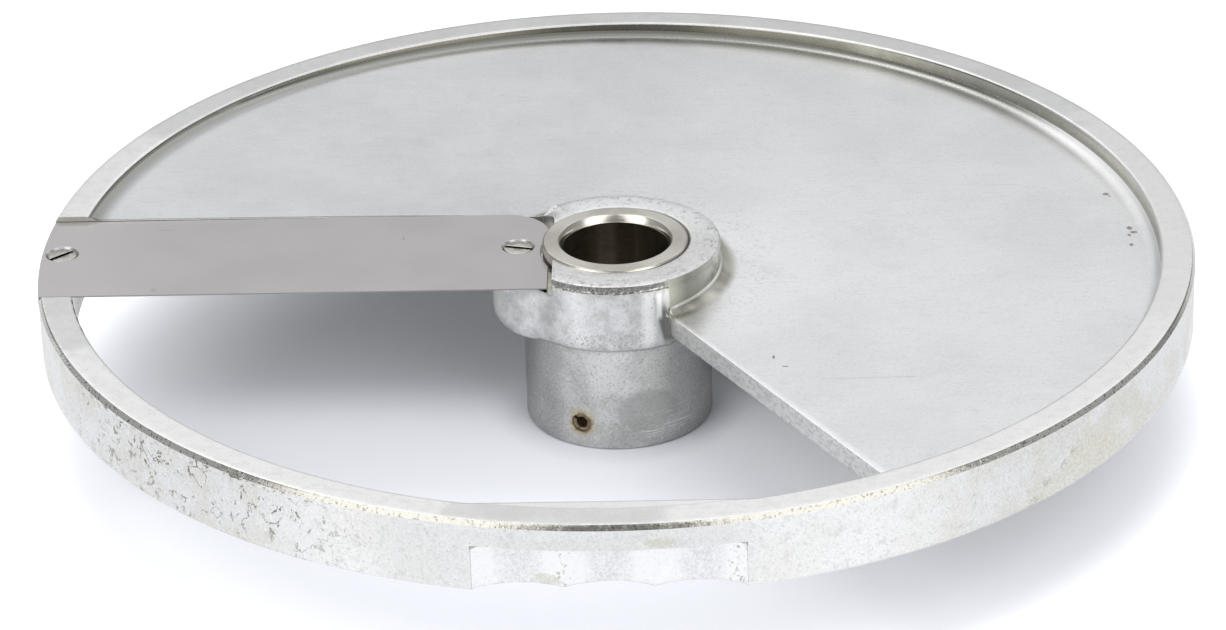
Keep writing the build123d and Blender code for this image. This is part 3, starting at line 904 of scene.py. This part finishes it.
# Hub sleeve: a turned steel bush pressed into the boss, standing a little proud of it.
# Its mouth is chamfered and its bore takes the machine's shaft.
def softened(node, name, edge, sharp=32):
    """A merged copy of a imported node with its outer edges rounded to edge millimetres."""
    work = bmesh.new()
    work.from_mesh(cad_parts[node].data)
    bmesh.ops.remove_doubles(work, verts=work.verts, dist=1e-7)
    for face in work.faces:
        face.smooth = True
        face.material_index = 0
    weight = work.edges.layers.float.new("bevel_weight_edge")
    for line in work.edges:
        hard = line.calc_face_angle(0) > math.radians(sharp)
        line.smooth = not hard
        line[weight] = 1.0 if hard and line.is_convex else 0.0
    mesh = mesh_of(name + "_raw", work)
    raw = put(name + "_raw", mesh)
    rounding = raw.modifiers.new("edge_round", "BEVEL")
    rounding.width = edge / 1000
    rounding.segments = 2
    rounding.limit_method = "WEIGHT"
    rounding.harden_normals = True
    done = settled(raw)
    done.name = name
    bpy.data.meshes.remove(mesh)
    done.materials.clear()
    return put(name, done)


def sleeve_steel():
    """Turned steel, warm and satin on its ring with four fans of painted reflection, browner and streaked
    lengthwise in the bore, with a painted highlight down the bore's back.
    """
    material, tree, metal = metal_finish("sleeve_steel")
    place = millimetres(tree)
    angle, out, height = around(place)
    lathe = node_in(tree, "ShaderNodeCombineXYZ", X=out, Y=times(angle, 0.012), Z=height)
    rings = grain(lathe.outputs[0], 0.22, 4, 0.7)
    cloud = grain(place, 2.6, 5, 0.6)
    # Four lighter fans round the ring: painted reflection.
    fan_sheen = calc("COSINE", times(minus(angle, 45), math.radians(4)))
    down = grain(millimetres(tree, (1, 1, 0.03)), 4.5, 3, 0.5)
    bore_colour = tint((0.50, 0.46, 0.39), (0.70, 0.66, 0.585), step(down, 0.40, 0.62))
    # A pale upright strip down the back of the bore: painted highlight.
    bore_colour = tint(bore_colour, (0.95, 0.92, 0.86), between(angle, 92, 112, 6), 0.8)
    inside = times(step(out, 9.6, 9.53), step(height, 32.3, 31.9))
    rough = step(rings, 0.3, 0.7, 0.16, 0.26)
    metal.inputs["Anisotropic"].default_value = 0.7
    along = node_in(tree, "ShaderNodeVectorMath", i0=(0, 0, 1), i1=place)
    along.operation = "CROSS_PRODUCT"
    ahead = node_in(tree, "ShaderNodeVectorMath", i0=along.outputs[0])
    ahead.operation = "NORMALIZE"
    colour = coats(
        tint((0.54, 0.515, 0.455), (0.50, 0.475, 0.415), step(cloud, 0.36, 0.70)),
        ((0.46, 0.435, 0.38), step(rings, 0.52, 0.74, 0, 0.3)),
        ((0.74, 0.715, 0.645), step(fan_sheen, -0.9, 0.95, 0.0, 0.6)),
        (bore_colour, inside),
    )
    feed(metal.inputs["Tangent"], ahead.outputs[0])
    dress(metal, colour, rough, rings, 0.005)
    return material


mouth_r = 9.75
mouth_low = 32.5
mouth_drop = 0.7
sleeve = softened("hub_sleeve", "steel_sleeve", 0.10)
for point in sleeve.data.vertices:
    if point.co.xy.length * 1000 < mouth_r and point.co.z * 1000 > mouth_low:
        point.co.z -= mouth_drop / 1000
sleeve.data.materials.append(sleeve_steel())
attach(sleeve, "root")
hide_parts("hub_sleeve")

# Slicing blade: a flat strip of hardened steel, ground along its length and sharpened from below.
# It lies in its seat across the opening and two screws hold it.
screw_spots = ((-98.8, 2.0, 31.5, 42.0), (-17.4, 2.0, 31.5, -14.0))


def blade_steel():
    """Ground steel: an even warm grey with faint long grinding lines and a few small marks, lighter towards
    the left end as painted light, with painted shadow round the screw heads and painted shade along both long
    edges.
    """
    material, tree, metal = metal_finish("blade_steel")
    place = millimetres(tree)
    ground = grain(millimetres(tree, (0.02, 2.2, 1)), 1.0, 4, 0.7)
    cloud = grain(place, 16, 4, 0.5)
    fine = grain(place, 0.5, 4, 0.7)
    spots = ((-81.1, 11, 31.5, 1.6, 0.22, 1), (-81.2, -12.9, 31.5, 0.5, 0.7, 1), (-38, 6, 31.5, 0.25, 0.9, 1))
    colour = coats(
        tint((0.560, 0.538, 0.530), (0.530, 0.508, 0.502), step(cloud, 0.38, 0.66)),
        ((0.47, 0.45, 0.445), step(ground, 0.52, 0.78, 0, 0.12)),
        ((0.44, 0.42, 0.41), step(fine, 0.62, 0.80, 0, 0.3)),
    )
    for spot in spots:
        colour = tint(colour, (0.34, 0.32, 0.31), mark(place, spot[:3], spot[3:], 0.6), 0.5)
    across, deep, _ = split(place)
    # Lighter towards the left end: painted light.
    colour = tint(colour, (0.63, 0.605, 0.595), step(across, -72, -96, 0, 0.6))
    # A dark ring round each screw's head: painted shadow.
    for x, y, top, _ in screw_spots:
        colour = tint(colour, (0.16, 0.15, 0.14), mark(place, (x, y, top - 0.3), (3, 3, 3), 0.05), 0.75)
    # Thin strips along both long edges are painted dark: painted shade that hides the edges' highlights.
    edge_shade = most(step(deep, -14.72, -14.86), step(deep, 14.86, 14.96))
    rough = step(ground, 0.3, 0.7, 0.28, 0.32)
    colour = tint(colour, (0.24, 0.23, 0.22), edge_shade, 0.8)
    dress(metal, colour, rough, plus(ground, times(fine, 0.4)), 0.0007)
    return material


blade = softened("slicing_blade", "flat_blade", 0.06)
blade.data.materials.append(blade_steel())
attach(blade, "root")
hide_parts("slicing_blade")

# Blade screws: two equal slotted countersunk steel screws, a little worn and warm in colour.
# One goes through the blade into the rim and one into the lug beside the boss.
screw_head_r = 2.8
screw_shank_r = 1.5
screw_length = 8.0
screw_sink = 0.2
screw_slot = (0.8, 0.6)


def screw_steel():
    """Plated screw steel: warm grey, turned rings on the head, painted shade down in the slot and round the
    head's lower edge.
    """
    material, tree, metal = metal_finish("screw_steel")
    place = millimetres(tree)
    fine = grain(place, 0.35, 5, 0.7)
    worn = grain(place, 1.3, 4, 0.6)
    high = split(place)["Z"]
    rough = step(fine, 0.25, 0.75, 0.22, 0.36)
    colour = coats(
        tint((0.58, 0.555, 0.515), (0.47, 0.445, 0.40), step(worn, 0.38, 0.66)),
        ((0.32, 0.30, 0.26), step(fine, 0.60, 0.78, 0, 0.5)),
        # Everything just below the head's top, the slot included, is painted near black: painted shade.
        ((0.07, 0.06, 0.045), step(high, 31.24, 31.16)),
    )
    dress(metal, colour, rough, plus(fine, worn), 0.008)
    return material


head_side = screw_head_r - screw_shank_r
head = -screw_sink
turned_line = [(0, head), (1.2, head), (2.35, head), (2.5, head - 0.04), (2.58, head - 0.22)]
turned_line += [(screw_shank_r, head - head_side), (screw_shank_r, 0.4 - screw_length)]
turned_line += [(1.1, -screw_length), (0, -screw_length)]
lathe_work = bmesh.new()
profile = [lathe_work.verts.new((r / 1000, 0, z / 1000)) for r, z in turned_line]
for one, two in zip(profile, profile[1:]):
    lathe_work.edges.new((one, two))
turned_parts = lathe_work.verts[:] + lathe_work.edges[:]
bmesh.ops.spin(
    lathe_work, geom=turned_parts, cent=(0, 0, 0), axis=(0, 0, 1), angle=math.tau, steps=64, use_merge=True
)
bmesh.ops.remove_doubles(lathe_work, verts=lathe_work.verts, dist=1e-6)
bmesh.ops.recalc_face_normals(lathe_work, faces=lathe_work.faces)
one_screw = put("one_screw", mesh_of("one_screw", lathe_work))
slot_work = bmesh.new()
bmesh.ops.create_cube(slot_work, size=1)
for point in slot_work.verts:
    x, y, z = point.co
    point.co = (x * 0.012, y * screw_slot[0] / 1000, (z + 0.5) * 0.002 - (screw_sink + screw_slot[1]) / 1000)
slot_cutter = put("slot_cutter", mesh_of("slot_cutter", slot_work))
spots_mesh = bpy.data.meshes.new("screw_spots")
spots_mesh.from_pydata([[c / 1000 for c in spot[:3]] for spot in screw_spots], [], [])
screw_turns = [math.radians(spot[3]) for spot in screw_spots]
spots_mesh.attributes.new("turn", "FLOAT", "POINT").data.foreach_set("value", screw_turns)
screw_set = put("screw_spots", spots_mesh)
slotting = one_screw.modifiers.new("slotting", "BOOLEAN")
slotting.object = slot_cutter
slotting.solver = "EXACT"
screw_edges = one_screw.modifiers.new("edge_round", "BEVEL")
screw_edges.width = 0.00006
screw_edges.segments = 2
screw_edges.limit_method = "ANGLE"
screw_edges.angle_limit = math.radians(35)

screw_tree = bpy.data.node_groups.new("screws_in_place", "GeometryNodeTree")
screw_tree.is_modifier = True
screw_node = partial(node_in, screw_tree)
screw_settings = {}
screw_tree.interface.new_socket("Places", in_out="INPUT", socket_type="NodeSocketGeometry")
inlet(screw_tree, "Screw", "NodeSocketObject", one_screw, screw_settings)
inlet(screw_tree, "Size", "NodeSocketFloat", 1.0, screw_settings)
inlet(screw_tree, "Finish", "NodeSocketMaterial", screw_steel(), screw_settings)
screw_tree.interface.new_socket("Screws", in_out="OUTPUT", socket_type="NodeSocketGeometry")
given = screw_tree.nodes.new("NodeGroupInput").outputs
shape = screw_node("GeometryNodeObjectInfo", Object=given["Screw"])
turn = screw_node("GeometryNodeInputNamedAttribute", Name="turn")
turn.data_type = "FLOAT"
way = screw_node("ShaderNodeCombineXYZ", Z=turn.outputs["Attribute"])
size = screw_node("ShaderNodeCombineXYZ", X=given["Size"], Y=given["Size"], Z=given["Size"])
driven = screw_node("GeometryNodeInstanceOnPoints", Points=given["Places"], Rotation=way.outputs[0])
feed(driven.inputs["Instance"], shape.outputs["Geometry"])
feed(driven.inputs["Scale"], size.outputs[0])
real = screw_node("GeometryNodeRealizeInstances", Geometry=driven.outputs[0])
dressed = screw_node("GeometryNodeSetMaterial", Geometry=real.outputs[0], Material=given["Finish"])
screw_node("NodeGroupOutput", Screws=dressed.outputs[0])
driving = screw_set.modifiers.new("screws_in_place", "NODES")
driving.node_group = screw_tree
for identifier, value in screw_settings.items():
    driving[identifier] = value
screws_mesh = settled(screw_set)
screws_mesh.name = "slotted_screws"
for part in (one_screw, slot_cutter):
    bpy.data.objects.remove(part)
screws_mesh.set_sharp_from_angle(angle=math.radians(30))
screws = put("slotted_screws", screws_mesh)
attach(screws, "root")
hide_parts("blade_screws")


# Spring pin: a slotted tube of spring steel driven through the foot and the sleeve.
# Its open end is rusty and its hollow is full of dirt.
def pin_rust():
    """Rusted spring steel: brown scale with darker pits."""
    material, tree, metal = metal_finish("pin_rust")
    place = millimetres(tree)
    scale = grain(place, 0.6, 5, 0.7)
    pits = grain(place, 0.25, 4, 0.7)
    rough = step(scale, 0.3, 0.7, 0.42, 0.62)
    colour = coats(
        tint((0.30, 0.235, 0.165), (0.13, 0.085, 0.045), step(scale, 0.35, 0.65)),
        ((0.07, 0.045, 0.025), step(pits, 0.55, 0.70)),
    )
    dress(metal, colour, rough, plus(scale, pits), 0.05)
    return material


pin = softened("spring_pin", "spring_pin_rolled", 0.08)
pin.data.materials.append(pin_rust())
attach(pin, "root")
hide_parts("spring_pin")

# Table: a plain white laminate top that the foot stands on, wide enough to fill the picture.
# The camera and reflections see it glow: painted light, strongest in a ring round the disc and lower farther
# out, and a painted pool of light in front of the hub that stops short of the foot, as in a bleached studio
# picture.
table_mesh = bpy.data.meshes.new("white_table")
half = 1.2
table_corners = [(-half, -half, 0), (half, -half, 0), (half, half, 0), (-half, half, 0)]
table_mesh.from_pydata(table_corners, [], [(0, 1, 2, 3)])
table = put("white_table", table_mesh)
white = bpy.data.materials.new("white_laminate")
white.use_nodes = True
paint = white.node_tree.nodes["Principled BSDF"]
paint.inputs["Base Color"].default_value = (0.87, 0.88, 0.94, 1)
paint.inputs["Roughness"].default_value = 0.7
paint.inputs["Specular IOR Level"].default_value = 0.2
laid = white.node_tree
spread = around(millimetres(laid))[1]
path = laid.nodes.new("ShaderNodeLightPath").outputs
seen = most(path["Is Camera Ray"], path["Is Glossy Ray"], path["Is Transmission Ray"])
deep = split(millimetres(laid))["Y"]
# Painted light on the floor, seen by the camera and in reflections.
near = times(step(deep, 14, -6), step(spread, 95, 60), step(spread, 16.5, 24), 0.13)
lift = plus(
    near, step(spread, 62, 100, 0.0, 0.18), step(spread, 96, 112, 0.0, 0.40),
    step(spread, 138, 175, 0.0, -0.30),
)
feed(paint.inputs["Emission Strength"], times(seen, lift))
paint.inputs["Emission Color"].default_value = (1, 1, 1, 1)
table_mesh.materials.append(white)

# Studio: a pale grey room with a white screen behind, a diffuser overhead, two tall soft boxes, one on each
# side of the camera, and a small bright window high behind at the left.
world = bpy.data.worlds.new("pale_room")
scene.world = world
world.use_nodes = True
room = world.node_tree.nodes["Background"]
room.inputs["Color"].default_value = (0.93, 0.955, 1.0, 1)
room.inputs["Strength"].default_value = 0.36


def soft_box(name, side, rise, away, width, height, glow, colour=(1, 1, 1)):
    """A soft lamp panel facing the disc: side in degrees right of the front; glow is its brightness."""
    data = bpy.data.lights.new(name, "AREA")
    data.shape = "RECTANGLE"
    data.size = width
    data.size_y = height
    data.energy = glow * math.pi * width * height
    data.color = colour
    panel = put(name, data)
    side, rise = math.radians(side), math.radians(rise)
    way = Vector((math.sin(side) * math.cos(rise), -math.cos(side) * math.cos(rise), math.sin(rise)))
    panel.location = away * way
    panel.rotation_euler = (-panel.location).to_track_quat("-Z", "Y").to_euler()
    panel.visible_camera = False


soft_box("left_box", -43, 30, 1.3, 1.0, 1.5, 2.0)
soft_box("right_box", 43, 30, 1.3, 1.0, 1.5, 2.0)
soft_box("back_screen", 180, 46, 1.7, 4.0, 1.3, 0.66)
soft_box("overhead", 180, 86, 1.6, 2.0, 1.8, 0.44)
soft_box("window", -146, 60, 1.7, 0.5, 0.45, 2.2)

# Camera: in front of the disc and 27 degrees above the table, about one metre away.
# It has a long lens and is rolled a little, as the photograph was taken.
eye = Vector((21.97, -879.71, 466.47)) / 1000
target = Vector((-0.80, -0.03, 18.5)) / 1000
roll = -0.02858
ahead_way = (target - eye).normalized()
right_way = ahead_way.cross(Vector((0, 0, 1))).normalized()
up_way = right_way.cross(ahead_way)
turned_right = math.cos(roll) * right_way + math.sin(roll) * up_way
turned_up = math.cos(roll) * up_way - math.sin(roll) * right_way
camera_data = bpy.data.cameras.new("camera")
camera_data.lens = 162.2
camera_data.sensor_width = 36
camera_data.clip_start = 0.05
camera_data.clip_end = 20
camera = put("camera", camera_data)
camera_frame = Matrix((turned_right, turned_up, -ahead_way)).transposed().to_4x4()
camera.matrix_world = Matrix.Translation(eye) @ camera_frame
scene.camera = camera

scene.view_settings.view_transform = "Standard"

bpy.context.view_layer.update()
